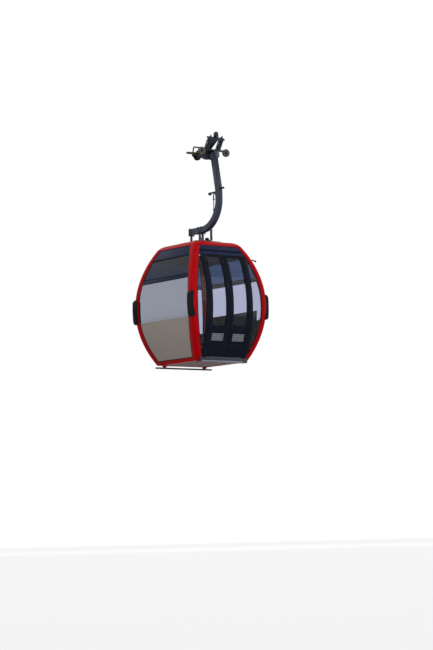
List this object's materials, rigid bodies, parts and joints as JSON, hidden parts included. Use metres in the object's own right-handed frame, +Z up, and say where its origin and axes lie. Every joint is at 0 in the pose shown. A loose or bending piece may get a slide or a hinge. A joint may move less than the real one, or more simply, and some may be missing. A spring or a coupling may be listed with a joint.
{
  "type": "cable car cabin",
  "caption": "Detachable ropeway gondola: spring-loaded rope grip with running wheels, bent hanger arm, barrel-shaped glazed cabin with arched corner posts, two-leaf door and corner bumpers.",
  "frame": {"origin": "centre of the rope in the grip's jaws, midway along the jaws", "axes": "+X along the rope, -Y towards the door side, +Z up"},
  "size_m": [1.8738, 1.926, 4.515],
  "materials": {
    "grip_casting": "satin",
    "jaw_steel": "worn",
    "pin_steel": "satin",
    "spring_steel": "satin",
    "tongue_bronze": "worn",
    "wheel_polyurethane": "matte",
    "wheel_hub": "satin",
    "dark_rubber": "matte",
    "hanger_paint": "satin",
    "roof_grey": "satin",
    "red_paint": "gloss",
    "liner_grey": "matte",
    "floor_beige": "matte",
    "teal_panel": "gloss",
    "black_trim": "satin",
    "tinted_glass": "gloss",
    "mirror_glass": "mirror coated",
    "clear_glass": "gloss",
    "dark_frame": "satin",
    "louvre_grey": "matte",
    "threshold_alu": "satin",
    "sill_grey": "satin",
    "seat_shell": "matte",
    "seat_plastic": "satin"
  },
  "bodies": {
    "grip": {"grip_housing": "grip_casting", "movable_jaw": "jaw_steel", "lever_pin": "pin_steel", "cross_bar": "grip_casting", "grip_springs": "spring_steel", "pivot_pin": "pin_steel", "jaw_tongues": "tongue_bronze", "wheel_axles": "pin_steel", "wheel_guard": "grip_casting"},
    "rear wheel": {"rear_wheel_tyre": "wheel_polyurethane", "rear_wheel_hub": "wheel_hub"},
    "front wheel": {"front_wheel_tyre": "wheel_polyurethane", "front_wheel_hub": "wheel_hub"},
    "guide wheel": {"guide_wheel_tyre": "dark_rubber", "guide_wheel_hub": "wheel_hub"},
    "lever roller": {"lever_roller": "pin_steel"},
    "hanger and cabin": {"hanger_arm": "hanger_paint", "hanger_peg": "hanger_paint", "door_lever": "hanger_paint", "door_rod": "pin_steel", "suspension_stirrups": "hanger_paint", "rubber_buffers": "dark_rubber", "sway_damper": "pin_steel", "roof_pan": "roof_grey", "top_frame": "red_paint", "ceiling": "liner_grey", "corner_posts": "red_paint", "lower_frame": "red_paint", "floor_pan": "floor_beige", "end_headers": "teal_panel", "side_headers": "teal_panel", "door_track": "black_trim", "vent_panes": "tinted_glass", "main_panes": "mirror_glass", "window_bars": "black_trim", "side_panes": "clear_glass", "door_jambs": "dark_frame", "door_leaves": "dark_frame", "door_glass": "clear_glass", "door_louvres": "louvre_grey", "door_seal": "dark_rubber", "threshold": "threshold_alu", "door_sill": "sill_grey", "guide_rail": "sill_grey", "rail_brackets": "sill_grey", "bumpers": "dark_rubber", "benches": "seat_shell", "seat_backs": "seat_shell", "seat_shells": "seat_plastic", "back_shells": "seat_plastic"}
  },
  "joints": [
    {"name": "hanger swing", "type": "hinge", "parent": "grip", "child": "hanger and cabin", "pos_m": [0, -0.352, -0.06], "axis": [0, 1, 0], "range_deg": [-35, 35]},
    {"name": "rear wheel spin", "type": "hinge", "parent": "grip", "child": "rear wheel", "pos_m": [-0.292, -0.352, 0.004], "axis": [0, 1, 0], "continuous": true},
    {"name": "front wheel spin", "type": "hinge", "parent": "grip", "child": "front wheel", "pos_m": [0.292, -0.352, 0.004], "axis": [0, 1, 0], "continuous": true},
    {"name": "guide wheel spin", "type": "hinge", "parent": "grip", "child": "guide wheel", "pos_m": [0, 0.192, 0], "axis": [0, 1, 0], "continuous": true},
    {"name": "lever roller spin", "type": "hinge", "parent": "grip", "child": "lever roller", "pos_m": [0, -0.43318, 0.33703], "axis": [0, 1, 0], "continuous": true}
  ]
}
